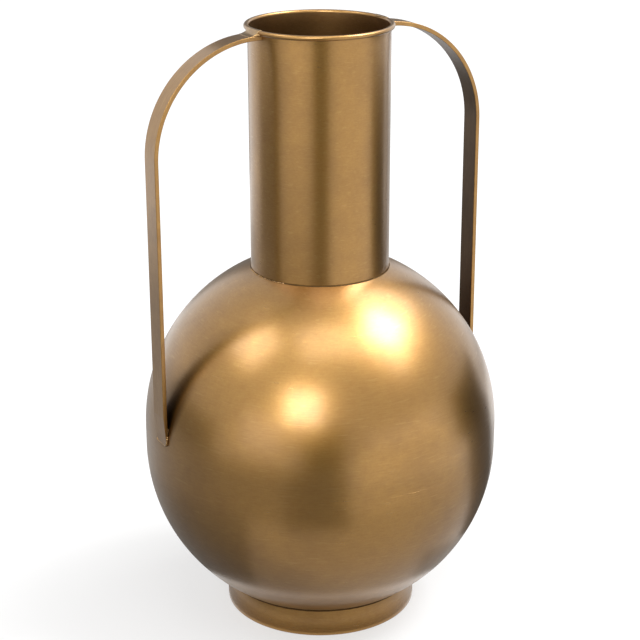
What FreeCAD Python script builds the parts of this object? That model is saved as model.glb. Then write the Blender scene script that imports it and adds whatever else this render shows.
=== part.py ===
import FreeCAD, Part
import math
import os
from FreeCAD import Vector

# Brass urn vase: two spun bowls, a rolled neck, a ring foot and two strap handles, brazed together.
# Millimetres. The origin is the centre of the foot's underside, +Z is up, and the handles lie along X.

os.makedirs("parts", exist_ok=True)

# Whole urn
total_height = 442.0        # up to the top of the rolled rim
sheet = 1.0                 # brass sheet of the bowls, the neck and the foot
braze_gap = 0.05            # room left for the braze wherever one piece seats on another
overrun = 5.0               # how far a cutting shape runs past what it cuts
turn_overrun = 6.0          # the same for a turned shape, in degrees
closeness = 0.01            # corners nearer to a place than this are taken to be at it

# Body
body_radius = 130.0         # outside of both bowls
skirt_height = 7.8          # straight skirt that each bowl ends in
lap_height = 6.0            # how far the lower bowl's stepped edge goes up inside the upper bowl
base_height = 7.0           # room under the flat that the lower bowl has at its middle
base_flat_radius = 39.6     # that flat, without the knuckle round it
base_knuckle = 8.0          # outside radius between that flat and the bowl
collar_height = 8.0         # collar of the upper bowl, up inside the neck
collar_bend = 1.0           # bend between the bowl and the collar, on its hollow side

# Neck and rim
neck_radius = 50.0          # outside of the neck
rim_wire_radius = 0.5       # wire that the rim is curled round
rim_wire_play = 0.3         # room between the wire and the sheet round it
curl_turn = 288.0           # degrees that the rim's sheet turns round its wire

# Foot
foot_radius = 71.2          # outside of the ring
foot_edge_radius = 1.6      # outside of the bend at the ring's lower edge
foot_flange = 6.0           # how far the turned-in edge reaches, from the ring's outside

# Handles
strap_width = 16.0
strap_thickness = 3.0
strap_edge = 0.4            # rounding of the bar's long edges
strap_lead = 3.0            # straight run between the neck and the bend
leg_offset = 0.5            # how far the leg's middle stands outside the body's widest radius
tip_rise = 7.4              # the leg's lower end, above the top of the upper bowl's skirt
tip_corner = 3.0            # rounding of the two corners of that end
tip_edge = 0.5              # thickness left at that end
scarf_height = 22.0         # height over which the outer face is dressed down to it

# Braze
neck_fillet = 1.0
foot_fillet = 1.2
fillet_sag_share = 0.05     # hollow of both, as a share of their size
ramp_length = 6.0           # from the rim's outside, out along the top of the bar
ramp_top_angle = 60.0       # where the ramp starts on the rim's round section, in degrees above level
ramp_foot_angle = -45.0     # where the ramp's hidden underside starts on that section
ramp_sag_share = 0.12       # hollow of the ramp, as a share of its length
crevice_height = 4.0        # braze in the crevice between bowl and bar, above where they part

# Places that follow from these
knuckle_rise = math.sqrt((body_radius - base_knuckle) ** 2 - base_flat_radius ** 2)
low_centre = base_height + base_knuckle + knuckle_rise
seam_height = low_centre + skirt_height
high_centre = seam_height + skirt_height
neck_inside = neck_radius - sheet
curl_inside = rim_wire_radius + rim_wire_play
curl_outside = curl_inside + sheet
curl_radius = neck_radius + curl_inside
curl_height = total_height - curl_outside
rim_outside = curl_radius + curl_outside
collar_outside = neck_inside - braze_gap
strap_height = total_height - 2 * curl_outside - braze_gap - strap_thickness / 2
leg_radius = body_radius + leg_offset
bend_start = neck_radius + strap_lead
bend_radius = leg_radius - bend_start
bend_height = strap_height - bend_radius
tip_height = high_centre + tip_rise

origin = Vector(0, 0, 0)
upright = Vector(0, 0, 1)


def at(radius, height):
    return Vector(radius, 0, height)


def polar(centre, radius, angle):
    turn = math.radians(angle)
    return centre + Vector(radius * math.cos(turn), 0, radius * math.sin(turn))


def direction(start, end):
    return math.degrees(math.atan2(end.z - start.z, end.x - start.x))


def chain(*points):
    return [Part.LineSegment(a, b).toShape() for a, b in zip(points, points[1:])]


def bend(centre, radius, start_angle, end_angle):
    middle_angle = (start_angle + end_angle) / 2
    points = [polar(centre, radius, a) for a in (start_angle, middle_angle, end_angle)]
    return Part.Arc(*points).toShape()


def hollow(start, end, sag):
    # An arc from start to end whose middle lies beside the straight line, on its right-hand side
    along = (end - start).normalize()
    middle = (start + end) / 2 + Vector(along.z, 0, -along.x) * sag
    return Part.Arc(start, middle, end).toShape()


def outline(edges):
    return Part.Face(Part.Wire(edges))


def turned(edges):
    return outline(edges).revolve(origin, upright, 360)


def below_bowl(radius):
    # Height of the lower bowl's outside, with the braze's room below it
    return low_centre - math.sqrt((body_radius + braze_gap) ** 2 - radius ** 2)


def above_bowl(radius):
    # Height of the upper bowl's outside, with the braze's room above it
    return high_centre + math.sqrt((body_radius + braze_gap) ** 2 - radius ** 2)


def lower_bowl():
    centre = at(0, low_centre)
    inside = body_radius - sheet
    knuckle = at(base_flat_radius, base_height + base_knuckle)
    lean = direction(centre, knuckle)
    step = sheet + braze_gap
    mitre = sheet * math.tan(math.radians(45) / 2)
    edges = chain(at(0, base_height), at(base_flat_radius, base_height))
    edges += [bend(knuckle, base_knuckle, -90, lean), bend(centre, body_radius, lean, 0)]
    edges += chain(
        at(body_radius, low_centre),
        at(body_radius, seam_height - step),
        at(body_radius - step, seam_height),
        at(body_radius - step, seam_height + lap_height),
        at(inside - step, seam_height + lap_height),
        at(inside - step, seam_height - mitre),
        at(inside, seam_height - step - mitre),
        at(inside, low_centre),
    )
    edges += [bend(centre, inside, 0, lean), bend(knuckle, base_knuckle - sheet, lean, -90)]
    base_inside = base_height + sheet
    edges += chain(at(base_flat_radius, base_inside), at(0, base_inside), at(0, base_height))
    return turned(edges)


def collar_centre():
    # Centre of the bend between the upper bowl and its collar
    radius = collar_outside + collar_bend
    rise = math.sqrt((body_radius + collar_bend) ** 2 - radius ** 2)
    return at(radius, high_centre + rise)


def upper_bowl():
    centre = at(0, high_centre)
    inside = body_radius - sheet
    fold = collar_centre()
    lean = direction(centre, fold)
    collar_top = fold.z + collar_height
    edges = [bend(centre, body_radius, 0, lean), bend(fold, collar_bend, lean - 180, -180)]
    edges += chain(
        at(collar_outside, fold.z),
        at(collar_outside, collar_top),
        at(collar_outside - sheet, collar_top),
        at(collar_outside - sheet, fold.z),
    )
    edges += [bend(fold, collar_bend + sheet, -180, lean - 180), bend(centre, inside, lean, 0)]
    edges += chain(
        at(inside, high_centre),
        at(inside, seam_height),
        at(body_radius, seam_height),
        at(body_radius, high_centre),
    )
    return turned(edges)


def seam_braze():
    step = sheet + braze_gap
    return turned(chain(
        at(body_radius, seam_height - step),
        at(body_radius, seam_height),
        at(body_radius - step, seam_height),
        at(body_radius, seam_height - step),
    ))


def neck_tube():
    curl = at(curl_radius, curl_height)
    curl_end = 180 - curl_turn
    fold = collar_centre()
    centre = at(0, high_centre)
    seat_radius = body_radius + braze_gap
    seat_in = polar(centre, seat_radius, direction(centre, fold))
    seat_out = at(neck_radius, above_bowl(neck_radius))
    edges = chain(seat_in, at(neck_inside, fold.z + braze_gap), at(neck_inside, curl_height))
    edges += [bend(curl, curl_outside, 180, curl_end)]
    edges += chain(polar(curl, curl_outside, curl_end), polar(curl, curl_inside, curl_end))
    edges += [bend(curl, curl_inside, curl_end, 180)]
    edges += chain(at(neck_radius, curl_height), seat_out)
    edges += [bend(centre, seat_radius, direction(centre, seat_out), direction(centre, seat_in))]
    return turned(edges)


def rim_wire():
    return Part.makeTorus(curl_radius, rim_wire_radius, at(0, curl_height))


def neck_braze():
    centre = at(0, high_centre)
    corner = at(neck_radius, high_centre + math.sqrt(body_radius ** 2 - neck_radius ** 2))
    tip_radius = neck_radius + neck_fillet
    tip = at(tip_radius, high_centre + math.sqrt(body_radius ** 2 - tip_radius ** 2))
    top = at(neck_radius, corner.z + neck_fillet)
    edges = chain(corner, top)
    edges += [hollow(top, tip, fillet_sag_share * neck_fillet)]
    edges += [bend(centre, body_radius, direction(centre, tip), direction(centre, corner))]
    return turned(edges)


def foot_ring():
    inside = foot_radius - sheet
    edge = at(foot_radius - foot_edge_radius, foot_edge_radius)
    centre = at(0, low_centre)
    seat_out = at(foot_radius, below_bowl(foot_radius))
    seat_in = at(inside, below_bowl(inside))
    flange_tip = foot_radius - foot_flange
    edges = [bend(edge, foot_edge_radius, -90, 0)]
    edges += chain(at(foot_radius, foot_edge_radius), seat_out)
    edges += [bend(centre, body_radius + braze_gap, direction(centre, seat_out), direction(centre, seat_in))]
    edges += chain(seat_in, at(inside, foot_edge_radius))
    edges += [bend(edge, foot_edge_radius - sheet, 0, -90)]
    edges += chain(at(edge.x, sheet), at(flange_tip, sheet), at(flange_tip, 0), at(edge.x, 0))
    return turned(edges)


def foot_braze():
    centre = at(0, low_centre)
    corner = at(foot_radius, low_centre - math.sqrt(body_radius ** 2 - foot_radius ** 2))
    tip_radius = foot_radius + foot_fillet
    tip = at(tip_radius, low_centre - math.sqrt(body_radius ** 2 - tip_radius ** 2))
    low = at(foot_radius, corner.z - foot_fillet)
    edges = [bend(centre, body_radius, direction(centre, corner), direction(centre, tip))]
    edges += [hollow(tip, low, -fillet_sag_share * foot_fillet)]
    edges += chain(low, corner)
    return turned(edges)


def bowl_block(room):
    # Solid of the upper bowl's outside, with some room round it
    radius = body_radius + room
    skirt = Part.makeCylinder(radius, skirt_height, at(0, seam_height))
    return skirt.fuse(Part.makeSphere(radius, at(0, high_centre)))


def neck_block(room):
    return Part.makeCylinder(neck_radius + room, total_height)


def scarf():
    # The ring-shaped space that the dressed lower end of each bar is cut back from
    tip_radius = math.sqrt(body_radius ** 2 - tip_rise ** 2) + braze_gap + tip_edge
    outer_face = leg_radius + strap_thickness / 2
    slope = (outer_face - tip_radius) / scarf_height
    low = at(tip_radius - slope * overrun, tip_height - overrun)
    high = at(outer_face + slope * scarf_height, tip_height + 2 * scarf_height)
    far = leg_radius + strap_width
    return turned(chain(low, high, at(far, high.z), at(far, low.z), low))


def bar():
    # The bent bar before its ends are fitted
    bend_centre = at(bend_start, bend_height)
    start = neck_radius - overrun
    half = strap_thickness / 2
    edges = chain(at(start, strap_height + half), at(bend_start, strap_height + half))
    edges += [bend(bend_centre, bend_radius + half, 90, 0)]
    edges += chain(
        at(leg_radius + half, bend_height),
        at(leg_radius + half, tip_height),
        at(leg_radius - half, tip_height),
        at(leg_radius - half, bend_height),
    )
    edges += [bend(bend_centre, bend_radius - half, 0, 90)]
    edges += chain(
        at(bend_start, strap_height - half),
        at(start, strap_height - half),
        at(start, strap_height + half),
    )
    face = outline(edges)
    face.translate(Vector(0, -strap_width / 2, 0))
    return face.extrude(Vector(0, strap_width, 0))


def across_tip(edge):
    # One of the two edges across the bar's thickness at its lower end
    ends = [vertex.Point for vertex in edge.Vertexes]
    at_tip = all(abs(p.z - tip_height) < closeness for p in ends)
    return at_tip and abs(ends[0].x - ends[-1].x) > strap_edge


def along_side(edge):
    # A long edge of one of the bar's two wide faces
    ends = [vertex.Point for vertex in edge.Vertexes]
    at_side = all(abs(abs(p.y) - strap_width / 2) < closeness for p in ends)
    return at_side and abs((ends[0] - ends[-1]).Length - strap_thickness) > closeness


def handle():
    solid = bar()
    solid = solid.makeFillet(tip_corner, [edge for edge in solid.Edges if across_tip(edge)])
    solid = solid.makeFillet(strap_edge, [edge for edge in solid.Edges if along_side(edge)])
    solid = solid.cut(neck_block(braze_gap))
    solid = solid.cut(bowl_block(braze_gap))
    return solid.cut(scarf())


def strap_slab():
    # As wide as the flat of the bar between its rounded edges
    width = strap_width - 2 * strap_edge
    return Part.makeBox(leg_radius, width, total_height, Vector(0, -width / 2, 0))


def top_braze(strap):
    curl = at(curl_radius, curl_height)
    strap_top = strap_height + strap_thickness / 2
    start = polar(curl, curl_outside, ramp_top_angle)
    end = at(rim_outside + ramp_length, strap_top)
    under = polar(curl, curl_outside, ramp_foot_angle)
    edges = [hollow(start, end, ramp_sag_share * ramp_length)]
    edges += chain(end, at(end.x, strap_height), at(under.x, strap_height), under, curl, start)
    half_turn = math.degrees(math.asin(strap_width / 2 / curl_radius)) + turn_overrun
    ramp = outline(edges)
    ramp.rotate(origin, upright, -half_turn)
    ramp = ramp.revolve(origin, upright, 2 * half_turn)
    bead = Part.makeTorus(curl_radius, curl_outside, at(0, curl_height))
    return ramp.common(strap_slab()).cut(bead).cut(strap)


def foot_braze_of_handle():
    inner_face = leg_radius - strap_thickness / 2
    part_rise = math.sqrt((body_radius + braze_gap) ** 2 - inner_face ** 2)
    top = high_centre + part_rise + crevice_height
    depth = strap_thickness
    width = strap_width - 2 * strap_edge
    corner = Vector(inner_face - depth, -width / 2, tip_height)
    block = Part.makeBox(depth, width, top - tip_height, corner)
    return block.cut(bowl_block(0))


def save(name, shape):
    solids = shape.Solids
    if len(solids) == 1:
        shape = solids[0]
    shape.exportStep("parts/" + name + ".step")
    low = shape.BoundBox
    print(name, len(solids), shape.isValid(), round(shape.Volume, 1),
          [round(v, 2) for v in (low.XMin, low.YMin, low.ZMin, low.XMax, low.YMax, low.ZMax)])


save("lower_bowl", lower_bowl())
save("upper_bowl", upper_bowl())
save("seam_braze", seam_braze())
save("neck_tube", neck_tube())
save("rim_wire", rim_wire())
save("neck_braze", neck_braze())
save("foot_ring", foot_ring())
save("foot_braze", foot_braze())

right_handle = handle()
handle_set = {
    "handle": right_handle,
    "handle_top_braze": top_braze(right_handle),
    "handle_foot_braze": foot_braze_of_handle(),
}
for name, shape in handle_set.items():
    save("right_" + name, shape)
    opposite = shape.copy()
    opposite.rotate(origin, upright, 180)
    save("left_" + name, opposite)
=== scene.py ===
import math
import random

import bpy
from mathutils import Matrix, Vector


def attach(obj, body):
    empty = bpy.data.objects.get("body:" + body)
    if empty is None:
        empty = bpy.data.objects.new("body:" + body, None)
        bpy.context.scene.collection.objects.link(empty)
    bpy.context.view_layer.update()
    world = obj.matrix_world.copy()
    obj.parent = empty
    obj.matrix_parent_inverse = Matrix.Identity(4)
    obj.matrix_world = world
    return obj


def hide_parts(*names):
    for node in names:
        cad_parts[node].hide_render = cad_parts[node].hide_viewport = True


mm = 0.001  # everything below is in metres
weldDistance = 0.002 * mm

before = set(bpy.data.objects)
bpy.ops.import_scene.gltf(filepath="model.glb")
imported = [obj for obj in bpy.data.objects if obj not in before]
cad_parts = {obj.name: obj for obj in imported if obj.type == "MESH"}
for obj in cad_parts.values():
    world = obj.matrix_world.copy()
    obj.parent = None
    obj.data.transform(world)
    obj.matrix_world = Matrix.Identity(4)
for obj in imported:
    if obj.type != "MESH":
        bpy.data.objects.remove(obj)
bpy.ops.object.select_all(action="DESELECT")
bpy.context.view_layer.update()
print("frame loaded")


# helpers that every piece uses
def arc(centre, radius, start, end, steps):
    # points of an arc in a piece's profile, as (distance from the axis, height)
    points = []
    for i in range(steps + 1):
        turn = math.radians(start + (end - start) * i / steps)
        points.append((centre[0] + radius * math.cos(turn), centre[1] + radius * math.sin(turn)))
    return points


def slope(start, end):
    # degrees above level of the line from start to end
    return math.degrees(math.atan2(end[1] - start[1], end[0] - start[0]))


def turnProfile(name, profile, steps, start=0, angle=360):
    # draws the profile as a chain of points and spins it backwards from start, round the urn's axis
    bpy.ops.mesh.primitive_plane_add(size=1 * mm, location=(profile[0][0], 0, profile[0][1]))
    piece = bpy.context.object
    piece.name = piece.data.name = name
    bpy.ops.object.transform_apply(location=True, rotation=True, scale=True)
    bpy.ops.object.mode_set(mode="EDIT")
    bpy.ops.mesh.select_mode(type="VERT")
    bpy.ops.mesh.select_all(action="SELECT")
    bpy.ops.mesh.merge(type="CENTER")
    for a, b in zip(profile, profile[1:]):
        bpy.ops.mesh.extrude_vertices_move(TRANSFORM_OT_translate={"value": (b[0] - a[0], 0, b[1] - a[1])})
    bpy.ops.mesh.select_all(action="SELECT")
    if start:
        bpy.ops.transform.rotate(value=-math.radians(start), orient_axis="Z", center_override=(0, 0, 0))
    bpy.ops.mesh.spin(steps=steps, angle=math.radians(angle), center=(0, 0, 0), axis=(0, 0, 1))
    bpy.ops.mesh.select_all(action="SELECT")
    bpy.ops.mesh.remove_doubles(threshold=weldDistance)
    bpy.ops.mesh.normals_make_consistent(inside=False)
    bpy.ops.object.mode_set(mode="OBJECT")
    return piece


def pick(piece, domain, test):
    # selects the faces or edges whose middle and, for faces, normal pass the test
    bpy.ops.object.mode_set(mode="EDIT")
    bpy.ops.mesh.select_mode(type="FACE" if domain == "faces" else "EDGE")
    bpy.ops.mesh.select_all(action="DESELECT")
    bpy.ops.object.mode_set(mode="OBJECT")
    mesh = piece.data
    if domain == "faces":
        for face in mesh.polygons:
            face.select = test(face.center, face.normal)
    else:
        for edge in mesh.edges:
            a, b = (mesh.vertices[i].co for i in edge.vertices)
            edge.select = test(a, b)
    bpy.ops.object.mode_set(mode="EDIT")


def selectOnly(piece):
    bpy.ops.object.select_all(action="DESELECT")
    piece.select_set(True)
    bpy.context.view_layer.objects.active = piece


def finishModifier(piece, kind, **values):
    # adds one modifier, sets it and applies it
    bpy.context.view_layer.objects.active = piece
    modifier = piece.modifiers.new(kind.title(), kind)
    for key, value in values.items():
        setattr(modifier, key, value)
    bpy.ops.object.modifier_apply(modifier=modifier.name)


def unevenTexture(name, size):
    texture = bpy.data.textures.new(name, "CLOUDS")
    texture.noise_scale = size
    texture.noise_depth = 1
    return texture


def unevenSurface(piece, texture, strength):
    values = {"texture": texture, "texture_coords": "LOCAL", "mid_level": 0.5}
    finishModifier(piece, "DISPLACE", strength=strength, **values)


def smooth(piece, angle=35):
    selectOnly(piece)
    bpy.ops.object.shade_smooth_by_angle(angle=math.radians(angle))
    piece.select_set(False)


def faceMaterial(piece, material, test):
    # gives a second material to the faces whose middle and normal pass the test
    piece.data.materials.append(material)
    for face in piece.data.polygons:
        if test(face.center, face.normal):
            face.material_index = len(piece.data.materials) - 1


def facesAxis(middle, normal):
    # true for a face that looks clearly towards the urn's axis
    clearly = 0.2
    return middle.x * normal.x + middle.y * normal.y < -clearly * math.hypot(middle.x, middle.y)


def copyTurned(piece, name):
    # the same piece for the other side of the urn, with its own mesh
    selectOnly(piece)
    bpy.ops.object.duplicate()
    twin = bpy.context.object
    twin.name = twin.data.name = name
    bpy.ops.object.mode_set(mode="EDIT")
    bpy.ops.mesh.select_all(action="SELECT")
    bpy.ops.transform.rotate(value=math.pi, orient_axis="Z", center_override=(0, 0, 0))
    bpy.ops.object.mode_set(mode="OBJECT")
    return twin


def finishPiece(piece, node, material):
    piece.data.materials.clear()
    piece.data.materials.append(material)
    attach(piece, "root")
    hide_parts(node)


# shader groups that the materials share
def newGroup(name, inputs, outputs):
    group = bpy.data.node_groups.new(name, "ShaderNodeTree")
    for label, kind, value in inputs:
        socket = group.interface.new_socket(name=label, in_out="INPUT", socket_type="NodeSocket" + kind)
        socket.default_value = value
    for label, kind in outputs:
        group.interface.new_socket(name=label, in_out="OUTPUT", socket_type="NodeSocket" + kind)
    return group, group.nodes.new("NodeGroupInput"), group.nodes.new("NodeGroupOutput")


def addNode(tree, kind, links=None, **values):
    # links: input name or number -> output socket or a plain value
    node = tree.nodes.new(kind)
    for key, value in values.items():
        setattr(node, key, value)
    for key, source in (links or {}).items():
        if isinstance(source, bpy.types.NodeSocket):
            tree.links.new(source, node.inputs[key])
        else:
            node.inputs[key].default_value = source
    return node


def mathNode(tree, operation, a, b=0.0, clamp=False):
    return addNode(tree, "ShaderNodeMath", {0: a, 1: b}, operation=operation, use_clamp=clamp).outputs[0]


def remap(tree, value, low, high, toLow=0.0, toHigh=1.0):
    values = {"Value": value, "From Min": low, "From Max": high, "To Min": toLow, "To Max": toHigh}
    node = addNode(tree, "ShaderNodeMapRange", values)
    node.clamp = True
    return node.outputs["Result"]


def noise(tree, vector, scale, detail, roughness, distortion=0.0):
    values = {"Vector": vector, "Scale": scale, "Detail": detail, "Roughness": roughness}
    return addNode(tree, "ShaderNodeTexNoise", dict(values, Distortion=distortion)).outputs["Fac"]


def mixColour(tree, mask, a, b):
    node = addNode(tree, "ShaderNodeMix", data_type="RGBA")
    for index, source in ((0, mask), (6, a), (7, b)):
        if isinstance(source, bpy.types.NodeSocket):
            tree.links.new(source, node.inputs[index])
        else:
            node.inputs[index].default_value = source
    return node.outputs[2]


def product(tree, *factors):
    # all factors multiplied together
    result = factors[0]
    for factor in factors[1:]:
        result = mathNode(tree, "MULTIPLY", result, factor)
    return result


def stretched(tree, vector, factors):
    return addNode(tree, "ShaderNodeMapping", {"Vector": vector, "Scale": factors}).outputs["Vector"]


# each noise has its detail, roughness and distortion
patinaLook = {
    "cloudSize": 0.05,
    "speckleSize": 0.0016,
    "broadNoise": (3.0, 0.55, 0.6),
    "fineNoise": (3.0, 0.6, 0.3),
    "speckleNoise": (2.0, 0.6),
    "fineTimes": 5.0,
    "broadShare": 0.7,
    "fineShare": 0.3,
    "cloudRange": (0.38, 0.62),
    "speckleRange": (0.35, 0.7),
}


def patinaGroup():
    # broad cloudy tone and fine speckle of chemically aged brass
    look = patinaLook
    group, source, sink = newGroup(
        "Patina",
        [
            ("Vector", "Vector", (0, 0, 0)),
            ("Cloud size", "Float", look["cloudSize"]),
            ("Speckle size", "Float", look["speckleSize"]),
        ],
        [("Clouds", "Float"), ("Speckle", "Float")],
    )
    vector = source.outputs["Vector"]
    cloudScale = mathNode(group, "DIVIDE", 1.0, source.outputs["Cloud size"])
    speckleScale = mathNode(group, "DIVIDE", 1.0, source.outputs["Speckle size"])
    broad = noise(group, vector, cloudScale, *look["broadNoise"])
    fineScale = product(group, cloudScale, look["fineTimes"])
    fine = noise(group, vector, fineScale, *look["fineNoise"])
    broad, fine = product(group, broad, look["broadShare"]), product(group, fine, look["fineShare"])
    both = mathNode(group, "ADD", broad, fine)
    group.links.new(remap(group, both, *look["cloudRange"]), sink.inputs["Clouds"])
    speckle = noise(group, vector, speckleScale, *look["speckleNoise"])
    group.links.new(remap(group, speckle, *look["speckleRange"]), sink.inputs["Speckle"])
    return group


brushedLook = {
    "lineWidth": 0.0009,
    "lineNoise": (3.0, 0.7),
    "rareNoise": (2.0, 0.6, 0.5),
    "rareTimes": 0.55,
    "lineRange": (0.3, 0.7),
    "scratchRange": (0.60, 0.70),
    "markRange": (0.40, 0.30),
}


def brushedGroup():
    # fine lines left by the polishing wheel, drawn out along one direction of the vector, with rare pale
    # scratches and dark marks among them
    look = brushedLook
    group, source, sink = newGroup(
        "Brushed lines",
        [("Vector", "Vector", (0, 0, 0)), ("Line width", "Float", look["lineWidth"])],
        [("Lines", "Float"), ("Scratches", "Float"), ("Marks", "Float")],
    )
    vector = source.outputs["Vector"]
    lineScale = mathNode(group, "DIVIDE", 1.0, source.outputs["Line width"])
    lines = noise(group, vector, lineScale, *look["lineNoise"])
    group.links.new(remap(group, lines, *look["lineRange"]), sink.inputs["Lines"])
    rare = noise(group, vector, product(group, lineScale, look["rareTimes"]), *look["rareNoise"])
    group.links.new(remap(group, rare, *look["scratchRange"]), sink.inputs["Scratches"])
    group.links.new(remap(group, rare, *look["markRange"]), sink.inputs["Marks"])
    return group


patina = patinaGroup()
brushed = brushedGroup()

# base, dark and bright tones of aged brass, and the near-black tone of the painted shade beside the bars
brassTones = {
    "base": (0.330, 0.163, 0.023, 1),
    "dark": (0.218, 0.098, 0.010, 1),
    "bright": (0.515, 0.310, 0.080, 1),
    # near-black tone of the painted shadow and reflection beside the bars
    "crevice": (0.060, 0.030, 0.008, 1),
    "roughness": 0.35,
    "coat": 1.0,
}
# painted shade for faces turned inward: about half as bright as the outside, and rougher
innerShadeTones = dict(
    brassTones,
    base=(0.170, 0.082, 0.018, 1),
    dark=(0.110, 0.048, 0.009, 1),
    bright=(0.320, 0.180, 0.060, 1),
    roughness=0.42,
)
# painted shade on the bars' inner faces: darker still, with little coat
innerHandleShadeTones = dict(
    innerShadeTones,
    base=(0.075, 0.042, 0.018, 1),
    dark=(0.048, 0.027, 0.011, 1),
    bright=(0.150, 0.090, 0.040, 1),
    coat=0.2,
)
brazeTones = dict(brassTones, base=(0.405, 0.250, 0.088, 1), roughness=0.32)
# painted shade in the creases at the neck and the foot: near-black, rough and without coat
creaseShadeTones = dict(
    brassTones,
    base=(0.085, 0.045, 0.016, 1),
    dark=(0.050, 0.026, 0.009, 1),
    roughness=0.7,
    coat=0.0,
)
# how strongly each mask works on the brass
brassLook = {
    "clouds": 0.62,
    "speckle": 0.30,
    "lines": 0.34,
    "scratches": 0.35,
    "marks": 0.45,
    "cloudRough": 0.05,
    "scratchRough": 0.06,
    "roughMiddle": 0.03,
    "speckleHeight": 0.6,
    "bumpStrength": 0.10,
    "bumpDistance": 0.0003,
    "coatRoughness": 0.26,
    "coatBend": 1.55,
    "lineStretch": 0.012,
}
# the painted shadow and reflection on the ball beside the bars: where it starts out from the axis, how fast
# it widens upwards, where its edge fades, and between which heights it fades at the top and at the tip
paintedShadeLook = {
    "out": (0.100, 0.115),
    "widening": 0.35,
    "edge": (-0.0485, -0.0425),
    "top": (0.175, 0.212),
    "tip": (0.150, 0.160),
    "strength": 0.85,
}


def turnedVector(tree, position):
    # height against the way round, so that brushed lines run round the urn
    split = addNode(tree, "ShaderNodeSeparateXYZ", {0: position})
    turn = mathNode(tree, "ARCTAN2", split.outputs[1], split.outputs[0])
    across = product(tree, turn, brassLook["lineStretch"])
    return addNode(tree, "ShaderNodeCombineXYZ", {0: across, 1: 0.0, 2: split.outputs[2]}).outputs[0]


def paintedShadeBesideBars(tree, position):
    # painted shadow and reflection of the bar, darkening the ball beside each bar's lower end
    look = paintedShadeLook
    split = addNode(tree, "ShaderNodeSeparateXYZ", {0: position})
    out = remap(tree, mathNode(tree, "ABSOLUTE", split.outputs[0]), *look["out"])
    widening = product(tree, split.outputs[2], look["widening"])
    across = mathNode(tree, "SUBTRACT", mathNode(tree, "ABSOLUTE", split.outputs[1]), widening)
    near = remap(tree, across, *look["edge"], 1.0, 0.0)
    belowTop = remap(tree, split.outputs[2], *look["top"], look["strength"], 0.0)
    aboveTip = remap(tree, split.outputs[2], *look["tip"])
    return product(tree, out, near, product(tree, belowTop, aboveTip))


def brassMaterial(name, tones, cloudSize=0.05, lineShare=0.5, stretch=None, paintedShadeMask=None):
    look = brassLook
    material = bpy.data.materials.new(name)
    material.use_nodes = True
    tree = material.node_tree
    shader = tree.nodes["Principled BSDF"]
    shader.inputs["Metallic"].default_value = 1.0
    shader.inputs["Coat Weight"].default_value = tones["coat"]
    shader.inputs["Coat Roughness"].default_value = look["coatRoughness"]
    shader.inputs["Coat IOR"].default_value = look["coatBend"]
    position = addNode(tree, "ShaderNodeTexCoord").outputs["Object"]
    cloudy = addNode(tree, "ShaderNodeGroup", {"Vector": position, "Cloud size": cloudSize}, node_tree=patina)
    lineVector = stretched(tree, position, stretch) if stretch else turnedVector(tree, position)
    lined = addNode(tree, "ShaderNodeGroup", {"Vector": lineVector}, node_tree=brushed)
    clouds, speckle = cloudy.outputs["Clouds"], cloudy.outputs["Speckle"]
    lines, scratches, marks = (lined.outputs[mask] for mask in ("Lines", "Scratches", "Marks"))
    # each mask, its share and the tone that it brings in
    colour = tones["base"]
    for mask, share, tone in (
        (clouds, look["clouds"], "dark"),
        (speckle, look["speckle"], "dark"),
        (lines, look["lines"] * lineShare, "bright"),
        (scratches, look["scratches"] * lineShare, "bright"),
        (marks, look["marks"] * lineShare, "dark"),
    ):
        colour = mixColour(tree, product(tree, mask, share), colour, tones[tone])
    # painted shadow and reflection beside the bars: the near-black tone, and the coat fades out where it is
    # strongest
    if paintedShadeMask:
        paintedShade = paintedShadeMask(tree, position)
        colour = mixColour(tree, paintedShade, colour, tones["crevice"])
        tree.links.new(remap(tree, paintedShade, 0, 1, tones["coat"], 0.0), shader.inputs["Coat Weight"])
    tree.links.new(colour, shader.inputs["Base Color"])
    rough = mathNode(tree, "MULTIPLY_ADD", clouds, look["cloudRough"])
    rough.node.inputs[2].default_value = tones["roughness"] - look["roughMiddle"]
    rough = mathNode(tree, "SUBTRACT", rough, product(tree, scratches, look["scratchRough"]))
    tree.links.new(rough, shader.inputs["Roughness"])
    height = product(tree, lines, lineShare)
    height = mathNode(tree, "ADD", height, product(tree, speckle, look["speckleHeight"]))
    values = {"Height": height, "Strength": look["bumpStrength"], "Distance": look["bumpDistance"]}
    tree.links.new(addNode(tree, "ShaderNodeBump", values).outputs["Normal"], shader.inputs["Normal"])
    return material


# the body's brass carries the painted shadow and reflection beside the bars
bodyBrass = brassMaterial("body_brass_aged", brassTones, paintedShadeMask=paintedShadeBesideBars)
innerShadeBrass = brassMaterial("inner_brass_painted_shade", innerShadeTones)
handleBrass = brassMaterial("handle_brass_aged", brassTones, cloudSize=0.03, stretch=(0.08, 1, 0.08))
innerHandleShade = brassMaterial("handle_brass_inner_painted_shade", innerHandleShadeTones, cloudSize=0.03, stretch=(1, 1, 0.05))
brazeBrass = brassMaterial("braze_filed", brazeTones, cloudSize=0.006, lineShare=0.2)
# painted shade for the fillets in the creases at the neck and the foot
creaseShadeBrass = brassMaterial("crease_painted_shade", creaseShadeTones, cloudSize=0.01, lineShare=0.2)
print("materials made")


# the two bowls of the body
body = {
    "radius": 130 * mm,
    "sheet": 1 * mm,
    "seamHeight": 138.194 * mm,
    "skirt": 7.8 * mm,
    "lap": 6 * mm,
    "flatRadius": 39.6 * mm,
    "flatHeight": 7 * mm,
    "knuckle": 8 * mm,
    "collarRadius": 48.95 * mm,
    "collarBend": 1 * mm,
    "collar": 8 * mm,
    "foldStepsOut": 6,
    "foldStepsIn": 8,
    "step": 1.05 * mm,
    "mitreTurn": 22.5,
    "turnSteps": 240,
    "ballSteps": 56,
    "knuckleSteps": 8,
    "uneven": 0.12 * mm,
    "unevenSize": 0.07,
}
lowCentre = (0, body["seamHeight"] - body["skirt"])
highCentre = (0, body["seamHeight"] + body["skirt"])
handMade = unevenTexture("hand made", body["unevenSize"])


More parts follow.
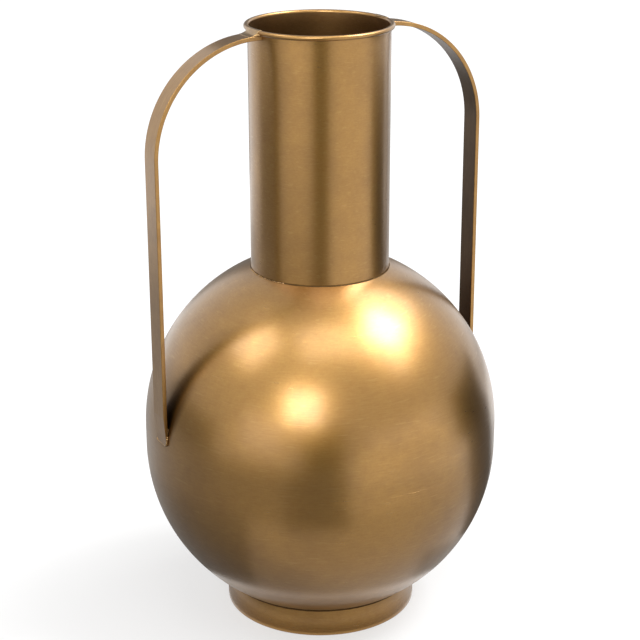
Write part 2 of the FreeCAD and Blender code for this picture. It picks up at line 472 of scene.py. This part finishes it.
def makeLowerBowl():
    radius, inside, step = body["radius"], body["radius"] - body["sheet"], body["step"]
    knuckle = (body["flatRadius"], body["flatHeight"] + body["knuckle"])
    lean = slope(lowCentre, knuckle)
    mitre = body["sheet"] * math.tan(math.radians(body["mitreTurn"]))
    seam, lapTop = body["seamHeight"], body["seamHeight"] + body["lap"]
    profile = [(0, body["flatHeight"]), (body["flatRadius"] / 2, body["flatHeight"])]
    profile += arc(knuckle, body["knuckle"], -90, lean, body["knuckleSteps"])
    profile += arc(lowCentre, radius, lean, 0, body["ballSteps"])[1:]
    profile += [(radius, lowCentre[1] + body["skirt"] / 2), (radius, seam - step)]
    profile += [(radius - step, seam), (radius - step, lapTop)]
    profile += [(inside - step, lapTop), (inside - step, seam - mitre), (inside, seam - step - mitre)]
    profile += arc(lowCentre, inside, 0, lean, body["ballSteps"])
    profile += arc(knuckle, body["knuckle"] - body["sheet"], lean, -90, body["knuckleSteps"])[1:]
    floorInside = body["flatHeight"] + body["sheet"]
    profile += [(body["flatRadius"] / 2, floorInside), (0, floorInside)]
    return turnProfile("lowerBowl", profile, body["turnSteps"])


def collarFold():
    # middle of the bend between the upper bowl and its collar
    radius = body["collarRadius"] + body["collarBend"]
    return (radius, highCentre[1] + math.sqrt((body["radius"] + body["collarBend"]) ** 2 - radius ** 2))


def makeUpperBowl():
    radius, inside, seam = body["radius"], body["radius"] - body["sheet"], body["seamHeight"]
    fold = collarFold()
    lean = slope(highCentre, fold)
    top = fold[1] + body["collar"]
    profile = arc(highCentre, radius, 0, lean, body["ballSteps"])
    profile += arc(fold, body["collarBend"], lean - 180, -180, body["foldStepsOut"])[1:]
    profile += [(body["collarRadius"], top), (body["collarRadius"] - body["sheet"], top)]
    profile += arc(fold, body["collarBend"] + body["sheet"], -180, lean - 180, body["foldStepsIn"])
    profile += arc(highCentre, inside, lean, 0, body["ballSteps"])[1:]
    profile += [(inside, seam), (radius, seam), (radius, seam + body["skirt"] / 2), (radius, highCentre[1])]
    return turnProfile("upperBowl", profile, body["turnSteps"])


lowerBowl = makeLowerBowl()
upperBowl = makeUpperBowl()
seamRing = turnProfile(
    "seamRing",
    [
        (body["radius"], body["seamHeight"] - body["step"]),
        (body["radius"], body["seamHeight"]),
        (body["radius"] - body["step"], body["seamHeight"]),
        (body["radius"], body["seamHeight"] - body["step"]),
    ],
    body["turnSteps"],
)
for piece, node in ((lowerBowl, "lower_bowl"), (upperBowl, "upper_bowl"), (seamRing, "seam_braze")):
    unevenSurface(piece, handMade, body["uneven"])
    smooth(piece)
    finishPiece(piece, node, bodyBrass)
# faces inside the bowls get the painted shade
for piece, centre in ((lowerBowl, lowCentre), (upperBowl, highCentre)):
    faceMaterial(piece, innerShadeBrass, lambda middle, normal: normal.dot(middle - Vector((0, 0, centre[1]))) < 0)
print("bowls made")


# the neck with its curled rim
neck = {
    "radius": 50 * mm,
    "sheet": 1 * mm,
    "top": 442 * mm,
    "curlInside": 0.8 * mm,
    "curlTurn": 288,
    "curlStepsOut": 26,
    "curlStepsIn": 16,
    "gap": 0.05 * mm,
    "turnSteps": 240,
    "wallSteps": 24,
}
curlOutside = neck["curlInside"] + neck["sheet"]
curlCentre = (neck["radius"] + neck["curlInside"], neck["top"] - curlOutside)


def makeNeck():
    inside, outside = neck["radius"] - neck["sheet"], neck["radius"]
    fold = collarFold()
    seat = body["radius"] + neck["gap"]
    seatIn = arc(highCentre, seat, slope(highCentre, fold), 0, 1)[0]
    seatHeight = highCentre[1] + math.sqrt(seat ** 2 - outside ** 2)
    endTurn = 180 - neck["curlTurn"]
    rise = curlCentre[1] - fold[1]
    steps = neck["wallSteps"]
    profile = [seatIn] + [(inside, fold[1] + neck["gap"] + rise * i / steps) for i in range(steps)]
    profile += arc(curlCentre, curlOutside, 180, endTurn, neck["curlStepsOut"])
    profile += arc(curlCentre, neck["curlInside"], endTurn, 180, neck["curlStepsIn"])
    drop = curlCentre[1] - seatHeight
    profile += [(outside, curlCentre[1] - drop * i / steps) for i in range(1, steps + 1)]
    profile += [seatIn]
    return turnProfile("neckTube", profile, neck["turnSteps"])


def inNeck(middle, normal):
    # true for a face inside the neck, below its rim
    inside = math.hypot(middle.x, middle.y) < neck["radius"] - neck["sheet"] / 2
    return inside and middle.z < curlCentre[1] and facesAxis(middle, normal)


neckTube = makeNeck()
unevenSurface(neckTube, handMade, 0.5 * body["uneven"])
smooth(neckTube)
finishPiece(neckTube, "neck_tube", bodyBrass)
# painted shade inside the neck
faceMaterial(neckTube, innerShadeBrass, inNeck)
print("neck made")


# the ring foot
foot = {
    "radius": 71.2 * mm,
    "sheet": 1 * mm,
    "edge": 1.6 * mm,
    "flange": 6 * mm,
    "edgeStepsOut": 8,
    "edgeStepsIn": 6,
    "gap": 0.05 * mm,
    "turnSteps": 240,
    "wallSteps": 6,
}


def makeFoot():
    outside, inside = foot["radius"], foot["radius"] - foot["sheet"]
    edge = (outside - foot["edge"], foot["edge"])
    seat = body["radius"] + foot["gap"]
    seatOut = lowCentre[1] - math.sqrt(seat ** 2 - outside ** 2)
    seatIn = lowCentre[1] - math.sqrt(seat ** 2 - inside ** 2)
    profile = arc(edge, foot["edge"], -90, 0, foot["edgeStepsOut"])
    steps = foot["wallSteps"]
    profile += [(outside, edge[1] + (seatOut - edge[1]) * i / steps) for i in range(1, steps + 1)]
    profile += [(inside, seatIn + (edge[1] - seatIn) * i / steps) for i in range(steps + 1)]
    profile += arc(edge, foot["edge"] - foot["sheet"], 0, -90, foot["edgeStepsIn"])[1:]
    profile += [(outside - foot["flange"], foot["sheet"]), (outside - foot["flange"], 0), (edge[0], 0)]
    return turnProfile("footRing", profile, foot["turnSteps"])


footRing = makeFoot()
smooth(footRing)
finishPiece(footRing, "foot_ring", bodyBrass)
print("foot made")


# the bent strap handles
handle = {
    "width": 16 * mm,
    "thickness": 3 * mm,
    "edge": 0.4 * mm,
    "height": 436.85 * mm,
    "bendStart": 53 * mm,
    "bendRadius": 77.5 * mm,
    "tipHeight": 153.394 * mm,
    "tipCorner": 3 * mm,
    "tipLeft": 0.5 * mm,
    "scarf": 22 * mm,
    "bendSteps": 64,
    "legSteps": 20,
    "cornerSteps": 6,
    "edgeSteps": 3,
    "into": 2 * mm,
    "cutSteps": 256,
    "cutHeight": 60 * mm,
    "sharpAngle": 40,
    "flatWeight": 80,
}
barOutside = handle["bendStart"] + handle["bendRadius"] + handle["thickness"] / 2
barInside = barOutside - handle["thickness"]
strapTop = handle["height"] + handle["thickness"] / 2


def ballRadius(height):
    # how far the upper bowl's outside is from the axis at a height
    return math.sqrt(body["radius"] ** 2 - (height - highCentre[1]) ** 2)


tipRadius = ballRadius(handle["tipHeight"]) + neck["gap"] + handle["tipLeft"]


def makeHandle():
    # a short bar, spun round the bend and drawn down to the lower end
    start = neck["radius"] - handle["into"]
    lead = handle["bendStart"] - start
    size = (lead, handle["width"], handle["thickness"])
    bpy.ops.mesh.primitive_cube_add(size=1, location=(start + lead / 2, 0, handle["height"]), scale=size)
    piece = bpy.context.object
    piece.name = piece.data.name = "rightHandle"
    bpy.ops.object.transform_apply(location=True, rotation=True, scale=True)
    pick(piece, "faces", lambda middle, normal: normal.x > 0.9)
    bendHeight = handle["height"] - handle["bendRadius"]
    bendCentre = (handle["bendStart"], 0, bendHeight)
    bpy.ops.mesh.spin(steps=handle["bendSteps"], angle=math.pi / 2, center=bendCentre, axis=(0, -1, 0))
    drop = (bendHeight - handle["tipHeight"]) / handle["legSteps"]
    for _ in range(handle["legSteps"]):
        bpy.ops.mesh.extrude_region_move(TRANSFORM_OT_translate={"value": (0, 0, -drop)})
    bpy.ops.mesh.select_all(action="SELECT")
    bpy.ops.mesh.normals_make_consistent(inside=False)
    bpy.ops.object.mode_set(mode="OBJECT")
    return piece


def shapeHandle(piece):
    # rounds the two corners of the lower end, then takes the sharpness off all edges
    tip = handle["tipHeight"]
    near = 0.01 * mm

    def acrossTip(a, b):
        return abs(a.z - tip) < near and abs(b.z - tip) < near and abs(a.x - b.x) > mm

    pick(piece, "edges", acrossTip)
    bpy.ops.mesh.bevel(offset=handle["tipCorner"], segments=handle["cornerSteps"], affect="EDGES")
    bpy.ops.object.mode_set(mode="OBJECT")
    values = {"limit_method": "ANGLE", "angle_limit": math.radians(handle["sharpAngle"])}
    finishModifier(piece, "BEVEL", width=handle["edge"], segments=handle["edgeSteps"], **values)


def cutWith(piece, cutter):
    finishModifier(piece, "BOOLEAN", operation="DIFFERENCE", object=cutter, solver="EXACT")
    bpy.data.objects.remove(cutter)


def fitEnds(piece):
    # cuts the bar to the ball and to the neck, with the gap for the braze
    radius = body["radius"] + neck["gap"]
    steps, place = handle["cutSteps"], (0, 0, highCentre[1])
    bpy.ops.mesh.primitive_uv_sphere_add(segments=steps, ring_count=steps // 2, radius=radius, location=place)
    cutWith(piece, bpy.context.object)
    radius, depth, place = neck["radius"] + neck["gap"], handle["cutHeight"], (0, 0, handle["height"])
    bpy.ops.mesh.primitive_cylinder_add(vertices=steps, radius=radius, depth=depth, location=place)
    cutWith(piece, bpy.context.object)


def dressTip(piece):
    # files the outer face down to a thin edge where the bar ends on the bowl
    lean = math.atan2(barOutside - tipRadius, handle["scarf"])
    reach = 2 * handle["scarf"]
    place = (tipRadius + math.cos(lean) * reach / 2, 0, handle["tipHeight"] - math.sin(lean) * reach / 2)
    bpy.ops.mesh.primitive_cube_add(size=reach, location=place, rotation=(0, lean, 0))
    cutWith(piece, bpy.context.object)


def facesBendCentre(middle, normal):
    # the bar's inner face: under the straight start, inside the bend and towards the neck on the leg
    level = handle["height"] - handle["bendRadius"]
    away = max(abs(middle.x) - handle["bendStart"], 0)
    inward = Vector((-math.copysign(away, middle.x), 0, -max(middle.z - level, 0)))
    return inward.length > 0 and abs(normal.y) < 0.5 and normal.dot(inward.normalized()) > 0.6


rightHandle = makeHandle()
shapeHandle(rightHandle)
fitEnds(rightHandle)
dressTip(rightHandle)
leftHandle = copyTurned(rightHandle, "leftHandle")
for piece, node in ((rightHandle, "right_handle"), (leftHandle, "left_handle")):
    smooth(piece)
    finishModifier(piece, "WEIGHTED_NORMAL", keep_sharp=True, weight=handle["flatWeight"])
    finishPiece(piece, node, handleBrass)
    # painted shade on the bar's inner face
    faceMaterial(piece, innerHandleShade, facesBendCentre)
print("handles made")


# the braze that holds the pieces together
braze = {
    "rough": 0.22 * mm,
    "roughSize": 0.0035,
    "cellSize": 0.16 * mm,
    "meltRounds": 3,
    "sagShare": 0.1,
}
lumpy = unevenTexture("lumpy braze", braze["roughSize"])
lumpy.noise_depth = 3


def uneven(dice, least, spread):
    return least + spread * dice.random()


def meltModifiers(piece, rounds):
    # one skin round everything in the piece, rounded off
    finishModifier(piece, "REMESH", mode="VOXEL", voxel_size=braze["cellSize"])
    finishModifier(piece, "SMOOTH", factor=0.5, iterations=rounds)


def meltLumps(name, lumps):
    # small flattened balls melted into one irregular bead; each lump is a place and a size
    balls = []
    for place, size in lumps:
        bpy.ops.mesh.primitive_ico_sphere_add(subdivisions=2, radius=1, location=place, scale=size)
        balls.append(bpy.context.object)
    selectOnly(balls[0])
    for ball in balls:
        ball.select_set(True)
    bpy.ops.object.join()
    bead = bpy.context.object
    bead.name = bead.data.name = name
    bpy.ops.object.transform_apply(location=True, rotation=True, scale=True)
    meltModifiers(bead, braze["meltRounds"])
    return bead


def joinInto(main, extra):
    selectOnly(main)
    extra.select_set(True)
    bpy.ops.object.join()


# the fillets round the neck and the foot: their sizes, how deep they go into the wall and under the
# ball, and how far their edges stand off
fillets = {
    "neck": 0.7 * mm,
    "foot": 1.2 * mm,
    "into": 0.2 * mm,
    "under": 0.3 * mm,
    "edge": 0.02 * mm,
    "steps": 480,
}


def ringFillet(name, radius, size, above):
    # a small fillet in the corner between the ball and the neck's or the foot's wall
    centre = highCentre if above else lowCentre
    sign = 1 if above else -1

    def onBall(distance, depth=0.0):
        return (distance, centre[1] + sign * (math.sqrt(body["radius"] ** 2 - distance ** 2) - depth))

    corner = onBall(radius - fillets["into"], fillets["into"])
    top = (radius - fillets["edge"], onBall(radius)[1] + sign * size)
    out = onBall(radius + size, fillets["edge"])
    sag = braze["sagShare"] * size
    middle = ((top[0] + out[0]) / 2 - sag, (top[1] + out[1]) / 2 - sign * sag)
    sunk = onBall(radius + size, fillets["under"])
    ring = turnProfile(name, [corner, (corner[0], top[1]), top, middle, out, sunk, corner], fillets["steps"])
    unevenSurface(ring, lumpy, braze["rough"])
    return ring


# runs of rough specks along the neck's joint: first and last angle from +X round the axis, spacing and
# size; then how uneven they are, as the least share and what chance adds to it
speckRuns = ((-197, -150, 0.8 * mm, 0.6 * mm), (28, 50, 1.1 * mm, 0.36 * mm))
specks = {
    "out": (0.55, 0.35),
    "size": (0.45, 0.9),
    "spacing": (0.5, 1.5),
    "flatness": 0.8,
    "rise": 0.15 * mm,
}


def neckSpecks(first, last, spacing, size, dice):
    lumps = []
    way = first
    while way < last:
        turn = math.radians(way)
        reach = neck["radius"] + fillets["neck"] * uneven(dice, *specks["out"])
        height = highCentre[1] + math.sqrt(body["radius"] ** 2 - reach ** 2) + specks["rise"]
        grown = size * uneven(dice, *specks["size"])
        place = (reach * math.cos(turn), reach * math.sin(turn), height)
        lumps.append((place, (grown, grown, specks["flatness"] * grown)))
        way += math.degrees(spacing / neck["radius"]) * uneven(dice, *specks["spacing"])
    return lumps


dice = random.Random(11)
neckRing = ringFillet("neckBraze", neck["radius"], fillets["neck"], True)
# the fillet carries painted shade in the neck's crease
neckRing.data.materials.append(creaseShadeBrass)
speckBead = meltLumps("neckSpecks", [lump for run in speckRuns for lump in neckSpecks(*run, dice)])
speckBead.data.materials.append(brazeBrass)
joinInto(neckRing, speckBead)
smooth(neckRing, 50)
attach(neckRing, "root")
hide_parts("neck_braze")

footJoint = ringFillet("footBraze", foot["radius"], fillets["foot"], False)
smooth(footJoint, 50)
# the fillet carries painted shade in the foot's crease
finishPiece(footJoint, "foot_braze", creaseShadeBrass)


def cutPlane(piece, place, normal):
    # cuts the piece off on the side the normal points to and closes the cut
    selectOnly(piece)
    bpy.ops.object.mode_set(mode="EDIT")
    bpy.ops.mesh.select_all(action="SELECT")
    bpy.ops.mesh.bisect(plane_co=place, plane_no=normal, use_fill=True, clear_outer=True)
    bpy.ops.mesh.select_all(action="SELECT")
    bpy.ops.mesh.normals_make_consistent(inside=False)
    bpy.ops.object.mode_set(mode="OBJECT")


# the dressed ramp from the bar up and over the rim
ramp = {
    "reach": 6.5 * mm,
    "cover": 0.16 * mm,
    "from": 128,
    "to": 42,
    "overSteps": 12,
    "slopeSteps": 8,
    "toeRise": 0.03 * mm,
    "into": 0.5 * mm,
    "sagOut": 0.3,
    "side": 0.3 * mm,
    "turnSteps": 360,
    "meltRounds": 6,
}
# runs of braze along both its sides: sizes in mm; the run gets thinner and lower towards the bar's bend
sideRun = {
    "count": 14,
    "start": 0.5,
    "length": 0.8,
    "size": 0.55,
    "thinner": 0.35,
    "chance": 0.12,
    "inset": 0.1,
    "outset": 0.35,
    "rise": 0.9,
    "lower": 0.8,
    "stretch": (1.3, 1.0, 1.2),
}
# what flowed on under the rim from both corners, in mm
cornerRun = {
    "count": 5,
    "size": (0.5, 0.2),
    "out": 0.95,
    "across": (0.1, 0.28),
    "drop": (0.9, 0.1),
    "thick": 0.9,
    "thinner": 0.12,
    "lower": 0.1,
}
# drops that ran over the rim into the mouth, in mm
rimDrops = {
    "count": 9,
    "width": 0.75,
    "stray": 0.8,
    "size": (0.35, 0.55),
    "drop": 0.5,
    "stretch": 1.5,
}


def makeRamp():
    # cut from a ring that hugs the rim
    over = arc(curlCentre, curlOutside + ramp["cover"], ramp["from"], ramp["to"], ramp["overSteps"])
    toe = (curlCentre[0] + curlOutside + ramp["reach"], strapTop + ramp["toeRise"])
    start = over[-1]
    down = []
    for i in range(1, ramp["slopeSteps"] + 1):
        share = i / ramp["slopeSteps"]
        sag = 4 * share * (1 - share) * braze["sagShare"] * ramp["reach"]
        away = start[0] + (toe[0] - start[0]) * share - ramp["sagOut"] * sag
        down.append((away, start[1] + (toe[1] - start[1]) * share - sag))
    under = [(toe[0], strapTop - ramp["into"]), (curlCentre[0], strapTop - ramp["into"]), curlCentre]
    piece = turnProfile("rightTopBraze", over + down + under + [over[0]], ramp["turnSteps"])
    half = handle["width"] / 2 - ramp["side"]
    cutPlane(piece, (0, half, 0), (0, 1, 0))
    cutPlane(piece, (0, -half, 0), (0, -1, 0))
    cutPlane(piece, (neck["radius"] / 2, 0, 0), (-1, 0, 0))
    return piece


def rampLumps(dice):
    half = handle["width"] / 2 - ramp["side"]
    lumps = []
    for side in (-1, 1):
        run = sideRun
        for i in range(run["count"]):
            share = i / (run["count"] - 1)
            away = curlCentre[0] + curlOutside * run["start"] + share * run["length"] * ramp["reach"]
            size = (run["size"] - run["thinner"] * share + run["chance"] * dice.random()) * mm
            across = side * (half - run["inset"] * mm + run["outset"] * mm * (1 - share))
            height = strapTop + (run["rise"] - run["lower"] * share) * mm
            place = (math.sqrt(away ** 2 - across ** 2), across, height)
            lumps.append((place, tuple(factor * size for factor in run["stretch"])))
        run = cornerRun
        for i in range(run["count"]):
            size = uneven(dice, *run["size"]) * mm
            across = side * (half + (run["across"][0] + run["across"][1] * i) * mm)
            away = math.sqrt((curlCentre[0] + curlOutside * run["out"]) ** 2 - across ** 2)
            height = curlCentre[1] - (run["drop"][0] + run["drop"][1] * i) * mm
            thick = run["thick"] * size * (1 - run["thinner"] * i)
            lumps.append(((away, across, height), (thick, size, size * (1 - run["lower"] * i))))
    cover = curlOutside + ramp["cover"]
    turn = math.radians(ramp["from"])
    away = curlCentre[0] + cover * math.cos(turn)
    middle = (rimDrops["count"] - 1) / 2
    for i in range(rimDrops["count"]):
        stray = rimDrops["stray"] * mm * (dice.random() - 0.5)
        across = (i / middle - 1) * rimDrops["width"] * half + stray
        size = uneven(dice, *rimDrops["size"]) * mm
        height = curlCentre[1] + cover * math.sin(turn) - rimDrops["drop"] * size
        place = (math.sqrt(away ** 2 - across ** 2), across, height)
        lumps.append((place, (size, rimDrops["stretch"] * size, size)))
    return lumps


rightTop = makeRamp()
joinInto(rightTop, meltLumps("sideRuns", rampLumps(random.Random(3))))
meltModifiers(rightTop, ramp["meltRounds"])
unevenSurface(rightTop, lumpy, 0.5 * braze["rough"])
leftTop = copyTurned(rightTop, "leftTopBraze")
for piece, node in ((rightTop, "right_handle_top_braze"), (leftTop, "left_handle_top_braze")):
    smooth(piece, 60)
    finishPiece(piece, node, brazeBrass)

# the line of braze round the bar's lower end, in mm. It climbs the edge on one side and breaks up into
# specks on the other, as in the photographed handle. Each part of it has a count, a step in mm or
# degrees, how big its lumps are and how much they vary
tipLine = {
    "climb": (64, 0.22, 0.9, 0.05),
    "firstCorner": (23, 4, 0.9, 0.05),
    "bottom": (39, 0.25, 0.75, 0.05),
    "secondCorner": (11, 9, 1.2, 0.45),
    "close": (10, 0.45, 1.1, 0.45),
    "apart": (5, 1.3, 0.8, 0.45),
    "climbHeight": 17,
    "climbOut": 0.08,
    "closeStray": 0.15,
    "apartStray": 0.3,
    "apartFrom": 5,
    "size": 0.36,
    "low": 0.4,
    "thickest": 0.9,
    "between": 0.75,
    "betweenRough": (0.3, 0.6),
    "fill": 0.35,
}


def tipPath(dice):
    # places along the line as (across, height), with how big and how uneven the lumps are
    half, tip, corner = handle["width"] / 2, handle["tipHeight"], handle["tipCorner"]
    path = []
    count, step, big, rough = tipLine["climb"]
    for i in range(count):
        height = tip + tipLine["climbHeight"] * mm - i * step * mm
        path.append((-half - tipLine["climbOut"] * mm, height, big, rough))
    count, step, big, rough = tipLine["firstCorner"]
    for i in range(count):
        turn = math.radians(i * step)
        across = -half + corner * (1 - math.cos(turn))
        path.append((across, tip + corner * (1 - math.sin(turn)), big, rough))
    count, step, big, rough = tipLine["bottom"]
    for i in range(1, count + 1):
        path.append((-half + corner + i * step * mm, tip, big, rough))
    count, step, big, rough = tipLine["secondCorner"]
    for i in range(count):
        turn = math.radians(i * step)
        across = half - corner + corner * math.sin(turn)
        path.append((across, tip + corner * (1 - math.cos(turn)), big, rough))
    count, step, big, rough = tipLine["close"]
    for i in range(1, count + 1):
        stray = tipLine["closeStray"] * mm * dice.random()
        path.append((half + stray, tip + corner + i * step * mm, big, rough))
    count, step, big, rough = tipLine["apart"]
    for i in range(1, count + 1):
        stray = tipLine["apartStray"] * mm * dice.random()
        path.append((half + stray, tip + corner + (tipLine["apartFrom"] + step * i) * mm, big, rough))
    return path


def tipLumps(dice):
    # lumps between the ball and the bar along that path
    lumps = []
    for across, height, big, rough in tipPath(dice):
        size = big * (tipLine["size"] + rough * (dice.random() - tipLine["low"])) * mm
        onBowl = math.sqrt(body["radius"] ** 2 - (height - highCentre[1]) ** 2 - across ** 2)
        dressed = tipRadius + (barOutside - tipRadius) * (height - handle["tipHeight"]) / handle["scarf"]
        thick = min(dressed, onBowl + tipLine["thickest"] * mm) - onBowl
        share = tipLine["between"] if across < 0 else uneven(dice, *tipLine["betweenRough"])
        place = (onBowl + share * thick, across, height)
        lumps.append((place, (size + tipLine["fill"] * thick, size, size)))
    return lumps


# the filler in the crevice behind the bar
crevice = {
    "aboveTip": 6 * mm,
    "aboveParting": 4 * mm,
    "thickness": 1.4 * mm,
    "inside": 0.6 * mm,
    "narrower": 1 * mm,
    "meltRounds": 2,
}


def makeFootBraze():
    low = handle["tipHeight"] + crevice["aboveTip"]
    top = highCentre[1] + math.sqrt(body["radius"] ** 2 - barInside ** 2) + crevice["aboveParting"]
    place = (barInside - crevice["inside"], 0, (low + top) / 2)
    size = (crevice["thickness"], handle["width"] - crevice["narrower"], top - low)
    bpy.ops.mesh.primitive_cube_add(size=1, location=place, scale=size)
    filler = bpy.context.object
    bpy.ops.object.transform_apply(location=True, rotation=True, scale=True)
    bead = meltLumps("rightFootBraze", tipLumps(random.Random(5)))
    joinInto(bead, filler)
    meltModifiers(bead, crevice["meltRounds"])
    return bead


rightFoot = makeFootBraze()
leftFoot = copyTurned(rightFoot, "leftFootBraze")
for piece, node in ((rightFoot, "right_handle_foot_braze"), (leftFoot, "left_handle_foot_braze")):
    smooth(piece, 60)
    finishPiece(piece, node, brazeBrass)
print("braze made")

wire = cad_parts["rim_wire"]
wire.data.materials.clear()
wire.data.materials.append(bodyBrass)


# floor, camera and light
paper = {"radius": 12.0, "steps": 96, "shade": 0.32, "glow": 0.55, "rough": 0.9, "shine": 0.1}


def directlySeen(tree):
    # 1 for a ray from the camera, a reflection or through glass
    path = addNode(tree, "ShaderNodeLightPath")
    seen = mathNode(tree, "ADD", path.outputs["Is Camera Ray"], path.outputs["Is Glossy Ray"])
    return mathNode(tree, "ADD", seen, path.outputs["Is Transmission Ray"], clamp=True)


def plainMaterial(name, colour, glow, clearBelow=False):
    # plain paper; the glow keeps pale paper white where the lamps leave it grey
    material = bpy.data.materials.new(name)
    material.use_nodes = True
    tree = material.node_tree
    shader = tree.nodes["Principled BSDF"]
    shader.inputs["Base Color"].default_value = (colour, colour, colour, 1)
    shader.inputs["Roughness"].default_value = paper["rough"]
    shader.inputs["Specular IOR Level"].default_value = paper["shine"]
    glowing = addNode(tree, "ShaderNodeEmission", {"Strength": product(tree, directlySeen(tree), glow)})
    both = addNode(tree, "ShaderNodeAddShader", {0: shader.outputs[0], 1: glowing.outputs[0]})
    result = both.outputs[0]
    if clearBelow:
        # clear from below, so that the underside of the urn shows
        back = addNode(tree, "ShaderNodeNewGeometry").outputs["Backfacing"]
        clear = addNode(tree, "ShaderNodeBsdfTransparent")
        result = addNode(tree, "ShaderNodeMixShader", {0: back, 1: result, 2: clear.outputs[0]}).outputs[0]
    tree.links.new(result, tree.nodes["Material Output"].inputs["Surface"])
    return material


values = {"vertices": paper["steps"], "radius": paper["radius"], "fill_type": "NGON"}
bpy.ops.mesh.primitive_circle_add(location=(0, 0, 0), **values)
floor = bpy.context.object
floor.name = "floor"
floor.data.materials.append(plainMaterial("pale_paper", paper["shade"], paper["glow"], clearBelow=True))

# the camera, as fitted to the photo: lengths, degrees, and millimetres of lens on a 36 mm sensor
view = {
    "distance": 1199.5 * mm,
    "height": 659.8 * mm,
    "turn": 30,
    "pitch": 20.0143,
    "roll": -0.1143,
    "lens": 97.828,
    "sensor": 36,
    "nearest": 0.01,
    "farthest": 100,
}
bpy.ops.object.camera_add()
camera = bpy.context.object
turn = math.radians(view["turn"])
away = view["distance"]
place = Matrix.Translation((-away * math.sin(turn), -away * math.cos(turn), view["height"]))
pitch = Matrix.Rotation(math.radians(90 - view["pitch"]), 4, "X")
roll = Matrix.Rotation(math.radians(view["roll"]), 4, "Z")
camera.matrix_world = place @ Matrix.Rotation(-turn, 4, "Z") @ pitch @ roll
camera.data.lens = view["lens"]
camera.data.sensor_width = view["sensor"]
camera.data.clip_start = view["nearest"]
camera.data.clip_end = view["farthest"]
bpy.context.scene.camera = camera
bpy.context.scene.view_settings.view_transform = "Standard"

# softboxes: way round from the camera towards the picture's right, rise, width and height as seen from
# the urn in degrees, and brightness, where 1 is white
lamps = {
    "key": (101, 54, 54, 32, 3.9),
    "core": (95, 55, 22, 18, 15.0),
    "top": (12, 71, 32, 22, 3.2),
    "front": (-12, 28, 22, 20, 9.4),
    "left": (-78, 52, 24, 22, 4.6),
    "glowRight": (57, 3, 55, 14, 0.8),
    "glowLeft": (-38, 8, 26, 22, 1.35),
}
lampDistance = 6.0
aimPoint = Vector((0, 0, 0.2))
# dark screens that stand round the urn outside the picture: way round, distance, width, height, shade
screens = {
    "screenFront": (2, 0.95, 0.42, 0.45, 0.07),
    "screenRight": (108, 0.75, 0.50, 0.28, 0.04),
    "screenLeft": (-88, 0.85, 0.70, 0.26, 0.20),
    "screenBack": (184, 1.20, 0.80, 1.60, 0.15),
}
# cards on the floor round the urn: from and to in degrees, inner and outer radius, height in mm, shade
cardSteps = 32
cards = {
    "cardFoot": (-180, 180, 0.0725, 0.086, 2, 0.58),
    "cardNear": (-180, 180, 0.095, 0.42, 1, 0.37),
    "cardFar": (134, 175, 0.80, 1.8, 2, 0.30),
    "cardLeft": (-160, -18, 0.30, 1.0, 2, 0.23),
    "cardLeftNear": (-135, -38, 0.10, 0.30, 2, 0.19),
    "cardFront": (-18, 15, 0.27, 1.0, 2, 0.13),
    "cardRight": (97, 132, 0.15, 1.0, 2, 0.04),
    "cardRightNear": (60, 135, 0.10, 0.15, 2, 0.22),
    "cardFair": (15, 98, 0.42, 1.2, 1, 0.60),
}


def lampDirection(around, rise):
    # from the urn towards a lamp or screen
    facing = math.radians(around - 90 - view["turn"])
    rise = math.radians(rise)
    return Vector((math.cos(facing) * math.cos(rise), math.sin(facing) * math.cos(rise), math.sin(rise)))


for name, (around, rise, width, height, brightness) in lamps.items():
    data = bpy.data.lights.new(name, "AREA")
    data.shape = "RECTANGLE"
    data.size = 2 * lampDistance * math.tan(math.radians(width / 2))
    data.size_y = 2 * lampDistance * math.tan(math.radians(height / 2))
    data.energy = brightness * math.pi * data.size * data.size_y
    lamp = bpy.data.objects.new(name, data)
    bpy.context.scene.collection.objects.link(lamp)
    away = lampDirection(around, rise)
    facing = away.to_track_quat("Z", "Y").to_matrix().to_4x4()
    lamp.matrix_world = Matrix.Translation(aimPoint + away * lampDistance) @ facing
    lamp.visible_camera = False


def reflectedOnly(card, shade):
    # only the metal shows the card: no camera ray, shadow or diffuse light meets it
    card.data.materials.append(plainMaterial(card.name + "_grey", shade, 0.0))
    card.visible_camera = card.visible_shadow = card.visible_diffuse = False


for name, (around, distance, width, height, shade) in screens.items():
    away = lampDirection(around, 0)
    bpy.ops.mesh.primitive_plane_add(size=1)
    screen = bpy.context.object
    screen.name = name
    facing = away.to_track_quat("Z", "Y").to_matrix().to_4x4()
    place = Matrix.Translation(away * distance + Vector((0, 0, height / 2)))
    screen.matrix_world = place @ facing @ Matrix.Diagonal((width, height, 1, 1))
    reflectedOnly(screen, shade)
for name, (first, last, inner, outer, height, shade) in cards.items():
    profile = [(inner, height * mm), (outer, height * mm)]
    card = turnProfile(name, profile, cardSteps, start=last - 90 - view["turn"], angle=last - first)
    reflectedOnly(card, shade)

world = bpy.data.worlds.new("studio")
bpy.context.scene.world = world
world.use_nodes = True
tree = world.node_tree
roomLight, whiteSeen = 0.6, 1.0
tree.nodes["Background"].inputs["Color"].default_value = (1, 1, 1, 1)
strength = remap(tree, directlySeen(tree), 0, 1, roomLight, whiteSeen)
tree.links.new(strength, tree.nodes["Background"].inputs["Strength"])
print("stage made")
